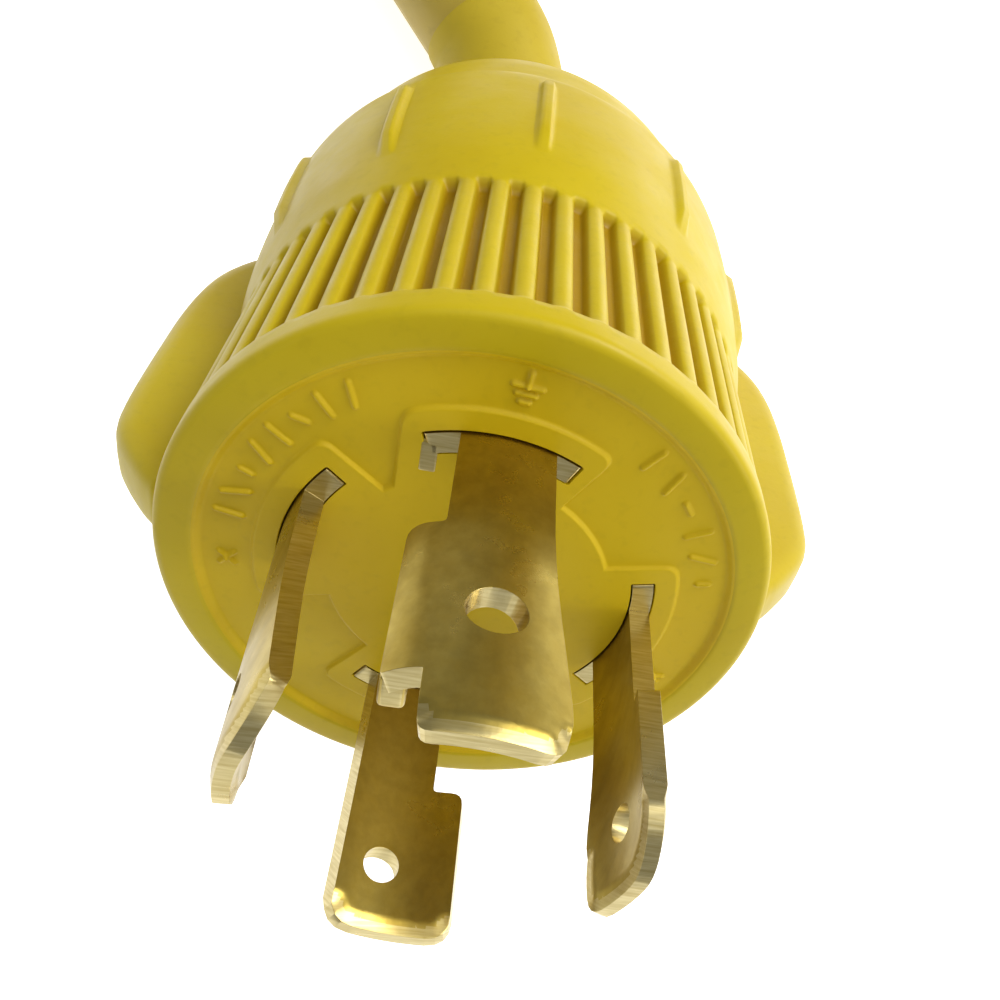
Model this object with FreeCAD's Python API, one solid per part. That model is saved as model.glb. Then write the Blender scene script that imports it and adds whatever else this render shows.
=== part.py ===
# 30 A four-blade locking plug on a heavy cord, with the cord coiled and tied behind it
# and the matching female connector on the far end.  All lengths are millimetres.
#
# The plug is drawn in its own frame: origin at the centre of the face, y backwards along
# the plug, z towards the ground blade.  It is then tipped back so that it leans on the rear
# edge of its boss, and the cord leaves it along the floor.
import FreeCAD
import Part
import math
import os

os.makedirs("parts", exist_ok=True)

V = FreeCAD.Vector

# ---- driving dimensions ------------------------------------------------------------
FACE_R = 27.5           # outer radius of the plug at the face
RIM_R = 24.0            # inside of the flat rim, where the face insulator sits
SHOULDER_R = 29.1       # widest part of the shoulder
BOSS_R = 27.0           # boss behind the shoulder
COLLAR_END = 3.3        # smooth collar in front of the ribs
RIB_END = 26.5          # back end of the ribbed band
SHOULDER_END = 55.0
BODY_END = 70.0         # rear face of the plug
RIB_COUNT = 56
RIB_DEPTH = 1.0
WING_TIP = 34.8         # from the axis to the outer edge of a finger wing
WING_HALF = 3.3         # half the thickness of a wing
RECESS = 0.65           # the face disc sits this far behind the rim
PAD_BACK = 0.3          # raised hub and pads on the face disc
HUB_R = 12.7
PAD_R = 19.1
BLADE_IN = 15.0         # inner and outer radius of the curved blades
BLADE_OUT = 16.9
INSULATOR_BACK = 14.0
REAR_INSULATOR_BACK = 20.0
FOOT_END = 24.0         # where the blade foot meets its crimp barrel
BARREL_LENGTH = 9.0
BARREL_R = 3.3
BARREL_BORE = 2.5
WIRE_R = 2.3            # insulated conductor
CORD_D = 18.0           # outside diameter of the cord
CORD_Z = 9.35           # height of the cord's centre line on the floor
LEAN = 45.0             # how far the plug is tipped back
ORIGIN_BACK = -31.55    # row position of the face centre
ORIGIN_UP = 67.9
COIL_X = -18.65         # centre of the coil
COIL_Y = 250.86
TURN_R = 126.0          # outer turn of the coil, at the cord's centre line
COIL_INNER = 63.0
COIL_TOP = 58.0
RUN = 150.0             # straight cord from the neck to where it joins the coil
STUB = 74.0             # the part of that run that is one solid with the coil
TOP_TURN_R = 108.0      # turn on top of the coil that the cord leaves it from
TOP_TURN_Z = 48.65
CLIMB_R = 85.0          # tighter curve on which it climbs to the connector
CLIMB_FROM = 100.0      # direction from the coil's centre in which that curve starts
CLIMB_SWEEP = 100.0
CLIMB_LEAD = 30.0       # length before the curve in which the cord already rises
CON_R = 28.4            # female connector
CON_LENGTH = 66.0
CON_RELIEF = 36.0

BOTTOM = V(0, 0, 0)
BACK = V(0, 1, 0)


# ---- helpers -------------------------------------------------------------------------
def rod(radius, y0, y1, x=0.0, z=0.0):
    return Part.makeCylinder(radius, y1 - y0, V(x, y0, z), BACK)


def ring(outer, inner, y0, y1):
    return rod(outer, y0, y1).cut(rod(inner, y0 - 1, y1 + 1))


def join(shapes):
    first = shapes[0]
    if len(shapes) > 1:
        first = first.fuse(shapes[1:])
    return first.removeSplitter()


def turned(profile):
    """Solid of revolution about the y axis from (radius, y) points."""
    points = [V(r, y, 0) for r, y in profile]
    points.append(points[0])
    face = Part.Face(Part.makePolygon(points))
    return face.revolve(BOTTOM, BACK, 360)


def around(radius, degrees, y):
    a = math.radians(degrees)
    return V(radius * math.cos(a), y, radius * math.sin(a))


def sector(outer, inner, a0, a1, y0, y1):
    """Piece of a ring between two angles."""
    points = []
    steps = max(3, int(abs(a1 - a0) / 6) + 1)
    for i in range(steps + 1):
        points.append(around(outer, a0 + (a1 - a0) * i / steps, y0))
    for i in range(steps + 1):
        points.append(around(inner, a1 + (a0 - a1) * i / steps, y0))
    points.append(points[0])
    return Part.Face(Part.makePolygon(points)).extrude(V(0, y1 - y0, 0))


def wedge(outline, middle, near, far):
    """Solid whose sides run away from the axis, from (angle, y) points round one direction."""
    a = math.radians(middle)
    out = V(math.cos(a), 0, math.sin(a))
    side = V(-math.sin(a), 0, math.cos(a))
    wires = []
    for reach in (near, far):
        points = []
        for angle, y in outline:
            across = reach * math.tan(math.radians(angle - middle))
            points.append(out * reach + side * across + V(0, y, 0))
        points.append(points[0])
        wires.append(Part.makePolygon(points))
    return Part.makeLoft(wires, True, True)


def strip(outline, middle, inner, outer):
    """Curved sheet metal with the given outline."""
    low = min(y for a, y in outline) - 1
    high = max(y for a, y in outline) + 1
    shell = ring(outer, inner, low, high)
    return shell.common(wedge(outline, middle, inner * 0.75, outer * 1.2))


def radial_hole(degrees, y, diameter):
    a = math.radians(degrees)
    out = V(math.cos(a), 0, math.sin(a))
    return Part.makeCylinder(diameter / 2, 12, out * 11 + V(0, y, 0), out)


def seat(shape):
    """Tip the plug back and stand it on the rear edge of its boss."""
    copy = shape.copy()
    copy.rotate(BOTTOM, V(1, 0, 0), -LEAN)
    copy.translate(V(0, ORIGIN_BACK, ORIGIN_UP))
    return copy


def seat_point(x, y, z):
    c = math.cos(math.radians(LEAN))
    s = math.sin(math.radians(LEAN))
    return V(x, y * c + z * s + ORIGIN_BACK, -y * s + z * c + ORIGIN_UP)


def save(name, shape):
    shape.exportStep("parts/" + name + ".step")
    box = shape.BoundBox
    print("%-26s solids %2d volume %10.1f  x %7.1f %7.1f  y %7.1f %7.1f  z %7.1f %7.1f" % (
        name, len(shape.Solids), shape.Volume,
        box.XMin, box.XMax, box.YMin, box.YMax, box.ZMin, box.ZMax))


# ---- blades --------------------------------------------------------------------------
# Outlines are (angle, y) pairs.  The wide root fills its slot and stops flush with the
# face; the neck carries on, and the hook catches behind the receptacle's face.
GROUND = [
    (80, FOOT_END), (80, REAR_INSULATOR_BACK), (65.2, REAR_INSULATOR_BACK), (65.2, 0),
    (73, 0), (73, -12.5), (72.2, -15.5), (70.3, -19.8), (67, -26.6), (67.6, -28.0),
    (70.0, -29.1), (98.0, -29.1), (99.6, -28.4), (100, -27.2), (100, -24.6),
    (109.4, -24.6), (109.4, -14.0),
    (108.6, -12.4), (106.0, -11.2), (102.5, -10.8), (100, -10.8), (100, 0), (110, 0),
    (110, REAR_INSULATOR_BACK), (96, REAR_INSULATOR_BACK), (96, FOOT_END)]

NEUTRAL = [
    (-105.5, FOOT_END), (-105.5, REAR_INSULATOR_BACK), (-123.5, REAR_INSULATOR_BACK),
    (-123.5, 0), (-117.5, 0), (-117.5, -22.6), (-116.6, -24.4), (-113.8, -25.5),
    (-83.5, -25.5), (-80.6, -24.4), (-79.5, -22.4), (-79.5, -13.0), (-80.2, -11.9),
    (-82.0, -11.4), (-90, -11.4), (-90, 0), (-71.5, 0), (-71.5, REAR_INSULATOR_BACK),
    (-89.5, REAR_INSULATOR_BACK), (-89.5, FOOT_END)]


# Both line blades share this foot; angles are counted from the slot's middle.
FOOT = [(25.9, 0), (25.9, REAR_INSULATOR_BACK), (8, REAR_INSULATOR_BACK), (8, FOOT_END),
        (-8, FOOT_END), (-8, REAR_INSULATOR_BACK), (-25.9, REAR_INSULATOR_BACK), (-25.9, 0)]
X_LINE = [(-15.8, 0), (-16.0, -6), (-17.2, -10.5), (-24.4, -20.8), (-24.2, -21.6),
          (-19.5, -23.3), (-11, -24.7), (17, -24.7), (19, -23.8), (19.8, -22), (19.8, -12.2),
          (19.4, -11.1), (18.0, -10.8), (14.2, -10.8), (14.2, 0)]
Y_LINE = [(-15.8, 0), (-15.8, -11.6), (-17.2, -14.5), (-21.6, -22.0), (-21.6, -24.0),
          (-19.4, -25.9), (4.0, -25.9), (8.0, -25.6), (16.0, -24.0), (21.2, -22.2),
          (21.2, -10.8), (14.2, -10.8), (14.2, 0)]


def line_blade(middle, outline):
    """Whole outline of a line blade about its slot's middle."""
    return [(middle + a, y) for a, y in FOOT + outline]


X_MIDDLE = 166.6
Y_MIDDLE = -11.6
W_MIDDLE = -97.5
G_MIDDLE = 88.0
TAIL_LEFT = -6.05       # the bent leg of the ground blade
TAIL_RIGHT = -4.25
TAIL_LOW = 12.1
TAIL_HIGH = 15.4


def tail(y0, y1):
    return Part.makeBox(TAIL_RIGHT - TAIL_LEFT, y1 - y0, TAIL_HIGH - TAIL_LOW,
                        V(TAIL_LEFT, y0, TAIL_LOW))


ground = strip(GROUND, G_MIDDLE, BLADE_IN, BLADE_OUT)
ground = join([ground, tail(0, REAR_INSULATOR_BACK), tail(-24.6, -11.2)])
ground = ground.cut(radial_hole(86, -19.0, 4.1))
blade_x = strip(line_blade(X_MIDDLE, X_LINE), X_MIDDLE, BLADE_IN, BLADE_OUT)
blade_x = blade_x.cut(radial_hole(X_MIDDLE - 1.4, -18.8, 3.3))
blade_y = strip(line_blade(Y_MIDDLE, Y_LINE), Y_MIDDLE, BLADE_IN, BLADE_OUT)
blade_y = blade_y.cut(radial_hole(Y_MIDDLE - 1.4, -20.1, 3.3))
blade_w = strip(NEUTRAL, W_MIDDLE, BLADE_IN, BLADE_OUT)
blade_w = blade_w.cut(radial_hole(-103.8, -19.7, 3.3))
blades = {"ground": ground, "x": blade_x, "y": blade_y, "w": blade_w}
middles = {"ground": G_MIDDLE, "x": X_MIDDLE, "y": Y_MIDDLE, "w": W_MIDDLE}
all_blades = [blades[k] for k in ("ground", "x", "y", "w")]

# ---- face insulator, with its hub and the four pads -----------------------------------
face = rod(RIM_R, RECESS, INSULATOR_BACK)
pads = [rod(HUB_R, PAD_BACK, RECESS + 1)]
for a0, a1 in ((59.8, 118.0), (134.0, 196.0), (-49.0, 21.5), (-131.0, -62.0)):
    pads.append(sector(PAD_R, HUB_R - 1, a0, a1, PAD_BACK, RECESS + 1))
face = join([face] + pads)
face = face.cut(all_blades)

rear_insulator = rod(RIM_R, INSULATOR_BACK, REAR_INSULATOR_BACK).cut(all_blades)

# ---- crimp barrels, strands, conductors and the end of the cord's jacket --------------
MEAN_R = (BLADE_IN + BLADE_OUT) / 2
BARREL_END = FOOT_END + BARREL_LENGTH
BEND_START = 36.0
BEND_END = 50.0
PACK_R = 3.9            # conductors inside the jacket
JACKET_START = 56.0
colours = {"ground": "green", "x": "black", "y": "red", "w": "white"}
crimps = {}
conductors = {}
strands = []
for key in ("ground", "x", "y", "w"):
    angle = middles[key]
    at = around(MEAN_R, angle, 0)
    inside = around(PACK_R, angle, 0)
    crimps[key] = rod(BARREL_R, FOOT_END, BARREL_END, at.x, at.z).cut(
        rod(BARREL_BORE, FOOT_END - 1, BARREL_END + 1, at.x, at.z))
    strands.append(rod(BARREL_BORE, FOOT_END, BARREL_END, at.x, at.z))
    start = V(at.x, BEND_START, at.z)
    end = V(inside.x, BEND_END, inside.z)
    slope = end - start
    wire = join([
        rod(WIRE_R, BARREL_END, BEND_START, at.x, at.z),
        Part.makeSphere(WIRE_R, start),
        Part.makeCylinder(WIRE_R, slope.Length, start, slope),
        Part.makeSphere(WIRE_R, end),
        rod(WIRE_R, BEND_END, BODY_END, inside.x, inside.z)])
    conductors[key] = wire

jacket_end = ring(CORD_D / 2, 6.6, JACKET_START, BODY_END)
fillers = [rod(1.5, JACKET_START, BODY_END)]
for i in range(4):
    between = around(5.5, middles["x"] + 45 + 90 * i - 2, 0)
    piece = rod(0.8, JACKET_START, BODY_END, between.x, between.z)
    clear = True
    for key in conductors:
        if piece.common(conductors[key]).Volume > 0.01:
            clear = False
    if clear:
        fillers.append(piece)

# ---- inner moulding that locks the wires ------------------------------------------------
CAVITY_END = 56.0
mould = rod(RIM_R, REAR_INSULATOR_BACK, CAVITY_END)
mould = mould.cut(all_blades)
mould = mould.cut([rod(BARREL_R, FOOT_END, BARREL_END, around(MEAN_R, middles[k], 0).x,
                       around(MEAN_R, middles[k], 0).z) for k in middles])
mould = mould.cut([conductors[k] for k in conductors])

# ---- plug shell --------------------------------------------------------------------------
front = turned([(RIM_R, 0), (FACE_R - 0.6, 0), (FACE_R, 0.6), (FACE_R, COLLAR_END),
                (RIM_R, COLLAR_END)])
teeth = []
for i in range(RIB_COUNT):
    a = 360.0 * (i + 0.5) / RIB_COUNT
    pitch = 360.0 / RIB_COUNT
    teeth.append(around(FACE_R - RIB_DEPTH, a - 0.50 * pitch, COLLAR_END))
    teeth.append(around(FACE_R - RIB_DEPTH, a - 0.30 * pitch, COLLAR_END))
    teeth.append(around(FACE_R - 0.1, a - 0.22 * pitch, COLLAR_END))
    teeth.append(around(FACE_R - 0.1, a + 0.22 * pitch, COLLAR_END))
    teeth.append(around(FACE_R - RIB_DEPTH, a + 0.30 * pitch, COLLAR_END))
teeth.append(teeth[0])
band = Part.Face(Part.makePolygon(teeth)).extrude(V(0, RIB_END - COLLAR_END, 0))
band = band.cut(rod(RIM_R, 0, RIB_END + 1))
back = turned([(RIM_R, RIB_END), (FACE_R - 0.2, RIB_END), (28.3, 32), (28.8, 38),
               (SHOULDER_R, 44), (SHOULDER_R, SHOULDER_END - 1.2),
               (SHOULDER_R - 1.2, SHOULDER_END), (BOSS_R, SHOULDER_END + 0.8),
               (BOSS_R, BODY_END - 1.0), (BOSS_R - 1.0, BODY_END), (CORD_D / 2, BODY_END),
               (CORD_D / 2, CAVITY_END), (RIM_R, CAVITY_END)])

WING = [(23.0, 4.0), (29.0, 4.6), (31.6, 7.4), (33.8, 10.6), (34.5, 13.4), (WING_TIP, 18),
        (WING_TIP, 32), (34.4, 38), (33.4, 43), (31.6, 47), (29.4, 50), (26.0, 52.5),
        (23.0, 53.0)]
WING_INSET = [(23.0, 6.0), (28.4, 6.6), (30.0, 8.6), (31.8, 11.4), (32.4, 14.0), (32.7, 18.4),
              (32.7, 31.4), (32.3, 37), (31.4, 41.4), (29.9, 44.8), (28.0, 47.4),
              (25.4, 50), (23.0, 50.6)]


def wing(side):
    """One finger wing with its edges bevelled on both faces."""
    def layer(outline, z):
        points = [V(side * x, y, z) for x, y in outline]
        points.append(points[0])
        return Part.makePolygon(points)
    flat = 1.0
    pieces = [
        Part.makeLoft([layer(WING, -flat), layer(WING, flat)], True, True),
        Part.makeLoft([layer(WING, flat), layer(WING_INSET, WING_HALF)], True, True),
        Part.makeLoft([layer(WING_INSET, -WING_HALF), layer(WING, -flat)], True, True)]
    solid = join(pieces)
    return solid.cut(rod(RIM_R + 1.2, 0, 60))


shoulder_ribs = []
for i in range(12):
    degrees = 27.0 + 31.2 * i
    if min(abs(degrees % 180), 180 - degrees % 180) < 12 or i > 11:
        continue
    rib = Part.makeBox(1.3, 18.0, 3.6, V(-0.65, 32.5, 26.2))
    rib.rotate(BOTTOM, BACK, 90 - degrees)
    shoulder_ribs.append(rib)
shell = join([front, band, back, wing(1), wing(-1)] + shoulder_ribs)

# ---- strain relief: a tapered elbow that lays the cord on the floor ---------------------
root = seat_point(0, BODY_END, 0)
first = V(-40.8, 44.0, 0)
cord_start = V(-9.05, 55.2, CORD_Z)
STATIONS = [
    (root, V(0, 1, -1), 13.4),
    (V(0.9, 22.8, 15.2), V(0.03, 0.9, -0.45), 13.5),
    (V(1.2, 26.2, 14.1), V(0, 1, -0.35), 13.0),
    (V(1.0, 28.4, 13.3), V(-0.1, 1, -0.3), 12.1),
    (V(-1.0, 31.0, 12.1), V(-0.2, 1, -0.25), 10.9),
    (V(-2.5, 35.6, 10.9), V(-0.18, 1, -0.1), 10.4),
    (V(-3.9, 42.8, 10.0), V(-0.30, 0.95, -0.05), 9.9),
    (V(-5.4, 48.3, 9.7), V(-0.48, 0.88, 0), 9.6),
    (V(-7.0, 52.2, 9.5), V(-0.60, 0.80, 0), 9.4),
    (cord_start, first, 9.3)]


def hoop(centre_point, direction, radius):
    """Circle of short sides square to the direction, always started from the same side."""
    along = V(direction.x, direction.y, direction.z).normalize()
    side = along.cross(V(0, 0, 1)).normalize()
    up = side.cross(along).normalize()
    points = []
    for i in range(28):
        a = 2 * math.pi * i / 28
        points.append(centre_point + side * (radius * math.cos(a)) + up * (radius * math.sin(a)))
    points.append(points[0])
    return Part.makePolygon(points)


relief = Part.makeLoft([hoop(c, d, r) for c, d, r in STATIONS], True, True)

# ---- cord on the floor, straight from the neck towards the coil ----------------------------
onward = V(first.x, first.y, first.z).normalize()
tube_end = cord_start + onward * (RUN - STUB)


path = Part.Wire([Part.makeLine(cord_start, tube_end)])
circle = Part.Wire(Part.makeCircle(CORD_D / 2, cord_start, first))
tube = path.makePipe(Part.Face(circle))
if tube.ShapeType != "Solid":
    tube = Part.Solid(Part.Shell(tube.Faces))

# ---- coil, its tie, and the two ends of cord that leave it --------------------------------
centre = V(COIL_X, COIL_Y, 0)
corner_r = CORD_Z     # the outer turns of the bundle lie at the cord's own height


def coil_section(grow):
    """Rounded outline of the bundle of turns, in the plane x-z through the coil's centre."""
    inner = COIL_INNER - grow
    outer = TURN_R + corner_r + grow
    low = -min(grow, 0.0)
    high = COIL_TOP + grow
    r = corner_r
    k = r * math.sqrt(0.5)
    p = [V(inner + r, 0, low), V(outer - r, 0, low), V(outer, 0, low + r),
         V(outer, 0, high - r), V(outer - r, 0, high), V(inner + r, 0, high),
         V(inner, 0, high - r), V(inner, 0, low + r)]
    parts = [Part.makeLine(p[0], p[1]),
             Part.Arc(p[1], V(outer - r + k, 0, low + r - k), p[2]).toShape(),
             Part.makeLine(p[2], p[3]),
             Part.Arc(p[3], V(outer - r + k, 0, high - r + k), p[4]).toShape(),
             Part.makeLine(p[4], p[5]),
             Part.Arc(p[5], V(inner + r - k, 0, high - r + k), p[6]).toShape(),
             Part.makeLine(p[6], p[7]),
             Part.Arc(p[7], V(inner + r - k, 0, low + r - k), p[0]).toShape()]
    return Part.Face(Part.Wire(parts))


bundle = coil_section(0).revolve(BOTTOM, V(0, 0, 1), 360)
bundle.translate(centre)
stub_in = Part.makeCylinder(CORD_D / 2, STUB, tube_end, onward)
CON_Z = COIL_TOP + CON_R + 0.05


def climb(angle):
    """Centre of the cord at this angle along its last curve, up to the connector."""
    length = math.radians(angle) * CLIMB_R
    whole = math.radians(CLIMB_SWEEP) * CLIMB_R + CLIMB_LEAD
    share = min(1.0, max(0.0, (length + CLIMB_LEAD) / whole))
    z = TOP_TURN_Z + (CON_Z - TOP_TURN_Z) * share * share * (3 - 2 * share)
    start = math.radians(CLIMB_FROM)
    if angle < 0:
        a = start - length / TOP_TURN_R
        return centre + V(TOP_TURN_R * math.cos(a), TOP_TURN_R * math.sin(a), z)
    off = TOP_TURN_R - CLIMB_R
    a = start - math.radians(angle)
    return centre + V(off * math.cos(start) + CLIMB_R * math.cos(a),
                      off * math.sin(start) + CLIMB_R * math.sin(a), z)


climb_hoops = []
for i in range(16):
    angle = -20 + 8 * i
    heading = climb(angle + 0.5) - climb(angle - 0.5)
    if angle == CLIMB_SWEEP:
        heading = V(0, -1, 0)
    climb_hoops.append(hoop(climb(angle), heading, CORD_D / 2))
tail = Part.makeLoft(climb_hoops, True, True)
coil = join([bundle, stub_in, tail])

TIE_WIDTH = 9.0
tie = coil_section(1.6).revolve(BOTTOM, V(0, 0, 1), TIE_WIDTH)
tie.rotate(BOTTOM, V(0, 0, 1), 145)
tie.translate(centre)
tie = tie.cut(bundle)

# ---- female connector on the far end, lying on the coil ------------------------------------
con_end = climb(CLIMB_SWEEP)
con_face = con_end.y - CON_RELIEF - CON_LENGTH


def put(shape):
    copy = shape.copy()
    copy.translate(V(con_end.x, con_face, CON_Z))
    return copy


con_outer = turned([(RIM_R, 0), (CON_R - 0.6, 0), (CON_R, 0.6), (CON_R, CON_LENGTH - 16),
                    (CON_R - 2, CON_LENGTH - 13), (22.0, CON_LENGTH - 2),
                    (20.0, CON_LENGTH), (CORD_D / 2, CON_LENGTH),
                    (CORD_D / 2, CON_LENGTH - 12), (RIM_R, CON_LENGTH - 16)])
slots = []
for key, width in (("ground", 25.0), ("x", 26.0), ("y", 26.0), ("w", 24.0)):
    mirrored = 180 - middles[key]
    outline = [(mirrored - width, -1), (mirrored + width, -1), (mirrored + width, 30),
               (mirrored - width, 30)]
    slots.append(strip(outline, mirrored, BLADE_IN - 0.7, BLADE_OUT + 0.7))
con_insulator = rod(RIM_R, 0, 26).cut(slots)
contacts = {}
for key in ("ground", "x", "y", "w"):
    mirrored = 180 - middles[key]
    inner_leaf = [(mirrored - 12, 26), (mirrored + 12, 26), (mirrored + 12, 36),
                  (mirrored - 12, 36)]
    contacts[key] = strip(inner_leaf, mirrored, BLADE_IN - 0.9, BLADE_IN)
    far_leaf = strip(inner_leaf, mirrored, BLADE_OUT, BLADE_OUT + 0.9)
    heel = strip([(mirrored - 12, 34.6), (mirrored + 12, 34.6), (mirrored + 12, 36),
                  (mirrored - 12, 36)], mirrored, BLADE_IN - 0.5, BLADE_OUT + 0.5)
    contacts[key] = join([contacts[key], far_leaf, heel])
con_crimps = []
con_strands = []
for key in middles:
    at = around(MEAN_R, 180 - middles[key], 0)
    con_crimps.append(rod(BARREL_R, 36, 44, at.x, at.z).cut(
        rod(BARREL_BORE, 35, 45, at.x, at.z)))
    con_strands.append(rod(BARREL_BORE, 36, 44, at.x, at.z))
con_wires = {}
for key in middles:
    at = around(MEAN_R, 180 - middles[key], 0)
    inside = around(PACK_R, 180 - middles[key], 0)
    start = V(at.x, 45.0, at.z)
    end = V(inside.x, 52.0, inside.z)
    slope = end - start
    con_wires[key] = join([
        rod(WIRE_R, 44, 45, at.x, at.z), Part.makeSphere(WIRE_R, start).cut(rod(40, 0, 44)),
        Part.makeCylinder(WIRE_R, slope.Length, start, slope).cut(rod(40, 0, 44)),
        Part.makeSphere(WIRE_R, end), rod(WIRE_R, 52, CON_LENGTH, inside.x, inside.z)])
con_mould = join([rod(RIM_R, 26, CON_LENGTH - 16), rod(CORD_D / 2, 49.9, 54)])
con_mould = con_mould.cut([strip([(180 - middles[k] - 12, 25), (180 - middles[k] + 12, 25),
                                  (180 - middles[k] + 12, 36), (180 - middles[k] - 12, 36)],
                                 180 - middles[k], BLADE_IN - 0.9, BLADE_OUT + 0.9)
                           for k in middles])
con_mould = con_mould.cut([rod(BARREL_R, 36, 44, around(MEAN_R, 180 - middles[k], 0).x,
                               around(MEAN_R, 180 - middles[k], 0).z) for k in middles])
con_mould = con_mould.cut([con_wires[k] for k in con_wires])
con_mould = con_mould.Solids[0] if len(con_mould.Solids) == 1 else max(
    con_mould.Solids, key=lambda s: s.Volume)
con_jacket = ring(CORD_D / 2, 6.6, 54, CON_LENGTH)
con_relief = turned([(0, CON_LENGTH), (13.4, CON_LENGTH), (9.6, CON_LENGTH + CON_RELIEF),
                     (0, CON_LENGTH + CON_RELIEF)])

# ---- write every piece -----------------------------------------------------------------------
save("plug_shell", seat(shell))
save("face_insulator", seat(face))
save("rear_insulator", seat(rear_insulator))
save("inner_mould", seat(mould))
for key in ("ground", "x", "y", "w"):
    save("blade_" + key, seat(blades[key]))
    save("crimp_" + key, seat(crimps[key]))
    save("conductor_" + colours[key], seat(conductors[key]))
save("copper_strands", seat(Part.Compound(strands)))
save("jacket_end", seat(jacket_end))
save("filler_cords", seat(Part.Compound(fillers)))
save("strain_relief", relief)
save("cord_jacket", tube)
save("cord_coil", coil)
save("coil_tie", tie)
save("connector_shell", put(con_outer))
save("connector_face", put(con_insulator))
for key in ("ground", "x", "y", "w"):
    save("contact_" + key, put(contacts[key]))
save("connector_crimps", put(Part.Compound(con_crimps)))
save("connector_strands", put(Part.Compound(con_strands)))
for key in ("ground", "x", "y", "w"):
    save("connector_wire_" + colours[key], put(con_wires[key]))
save("connector_mould", put(con_mould))
save("connector_jacket_end", put(con_jacket))
save("connector_strain_relief", put(con_relief))

length = path.Length
section = math.pi * (CORD_D / 2) ** 2
print("tube length", round(length, 1))
print("connector face at", round(con_end.x, 3), round(con_face, 3), round(CON_Z, 3))
print("tube volume", round(tube.Volume, 1), "section x length", round(section * length, 1))
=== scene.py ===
import bpy
import bmesh
from math import sin, cos, pi, radians, degrees, atan2, hypot
from mathutils import Vector, Matrix


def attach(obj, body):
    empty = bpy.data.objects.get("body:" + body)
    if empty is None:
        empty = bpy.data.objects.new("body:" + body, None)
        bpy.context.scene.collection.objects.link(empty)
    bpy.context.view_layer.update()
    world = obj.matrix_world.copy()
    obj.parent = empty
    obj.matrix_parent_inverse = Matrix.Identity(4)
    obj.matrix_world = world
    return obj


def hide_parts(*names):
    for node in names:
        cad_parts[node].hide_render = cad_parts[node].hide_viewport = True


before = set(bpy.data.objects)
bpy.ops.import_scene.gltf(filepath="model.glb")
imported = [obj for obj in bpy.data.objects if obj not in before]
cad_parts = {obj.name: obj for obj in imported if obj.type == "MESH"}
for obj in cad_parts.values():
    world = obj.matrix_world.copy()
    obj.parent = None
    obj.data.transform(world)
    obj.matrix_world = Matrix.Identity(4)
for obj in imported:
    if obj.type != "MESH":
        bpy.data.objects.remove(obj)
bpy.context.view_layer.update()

# Pieces of the plug are built in millimetres in the plug's own frame: origin at the centre
# of the face, y back along the plug, z towards the ground blade.
MM = Matrix.Scale(0.001, 4)
SEAT = Matrix.Translation((0, -0.03155, 0.0679)) @ Matrix.Rotation(radians(-45), 4, "X")
PLUG = SEAT @ MM
CONNECTOR_AT = (0.062356, 0.171511, 0.08645)
CONNECTOR = Matrix.Translation(CONNECTOR_AT) @ MM
FLOOR = MM

# ---------------------------------------------------------------- camera
lens = bpy.data.cameras.new("camera")
lens.sensor_width = 36.0
lens.lens = 34.32
lens.shift_x = -0.085
lens.shift_y = 0.090
lens.clip_start = 0.005
lens.clip_end = 20
camera = bpy.data.objects.new("camera", lens)
bpy.context.scene.collection.objects.link(camera)
right = Vector((0.97418, 0.15650, 0.16270)).normalized()
ahead = Vector((0.15726, 0.04660, -0.98646)).normalized()
upward = right.cross(ahead).normalized()
look = Matrix.Identity(4)
for i in range(3):
    look[i][0] = right[i]
    look[i][1] = upward[i]
    look[i][2] = -ahead[i]
look.translation = (-0.00321, -0.03379, 0.15488)
camera.matrix_world = look
bpy.context.scene.camera = camera


# ---------------------------------------------------------------- node helpers
def material(name):
    m = bpy.data.materials.new(name)
    m.use_nodes = True
    nodes = m.node_tree.nodes
    nodes.clear()
    out = nodes.new("ShaderNodeOutputMaterial")
    shader = nodes.new("ShaderNodeBsdfPrincipled")
    m.node_tree.links.new(shader.outputs[0], out.inputs[0])
    return m, m.node_tree, shader


def node(tree, kind, **values):
    n = tree.nodes.new(kind)
    for key, value in values.items():
        if hasattr(n, key):
            setattr(n, key, value)
        else:
            n.inputs[key.replace("_", " ")].default_value = value
    return n


def noise(tree, scale, detail=3.0, stretch=None, rough=0.5):
    """Noise in the object's own metres, optionally stretched along an axis."""
    at = node(tree, "ShaderNodeTexCoord")
    n = node(tree, "ShaderNodeTexNoise", Scale=scale, Detail=detail, Roughness=rough)
    if stretch:
        turn = node(tree, "ShaderNodeMapping")
        turn.inputs["Rotation"].default_value = stretch[0]
        turn.inputs["Scale"].default_value = stretch[1]
        tree.links.new(at.outputs["Object"], turn.inputs["Vector"])
        tree.links.new(turn.outputs[0], n.inputs["Vector"])
    else:
        tree.links.new(at.outputs["Object"], n.inputs["Vector"])
    return n.outputs["Fac"]


def ramp(tree, source, stops):
    r = node(tree, "ShaderNodeValToRGB")
    while len(r.color_ramp.elements) < len(stops):
        r.color_ramp.elements.new(0.5)
    for element, (at, colour) in zip(r.color_ramp.elements, stops):
        element.position = at
        element.color = (*colour, 1) if len(colour) == 3 else colour
    tree.links.new(source, r.inputs[0])
    return r.outputs[0]


def grey(v):
    return (v, v, v)


def mix(tree, fac, a, b, mode="MIX"):
    m = node(tree, "ShaderNodeMix", data_type="RGBA", blend_type=mode)
    for socket, value in ((m.inputs[0], fac), (m.inputs[6], a), (m.inputs[7], b)):
        if isinstance(value, bpy.types.NodeSocket):
            tree.links.new(value, socket)
        elif isinstance(value, (int, float)):
            socket.default_value = value
        else:
            socket.default_value = (*value, 1)
    return m.outputs[2]


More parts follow.
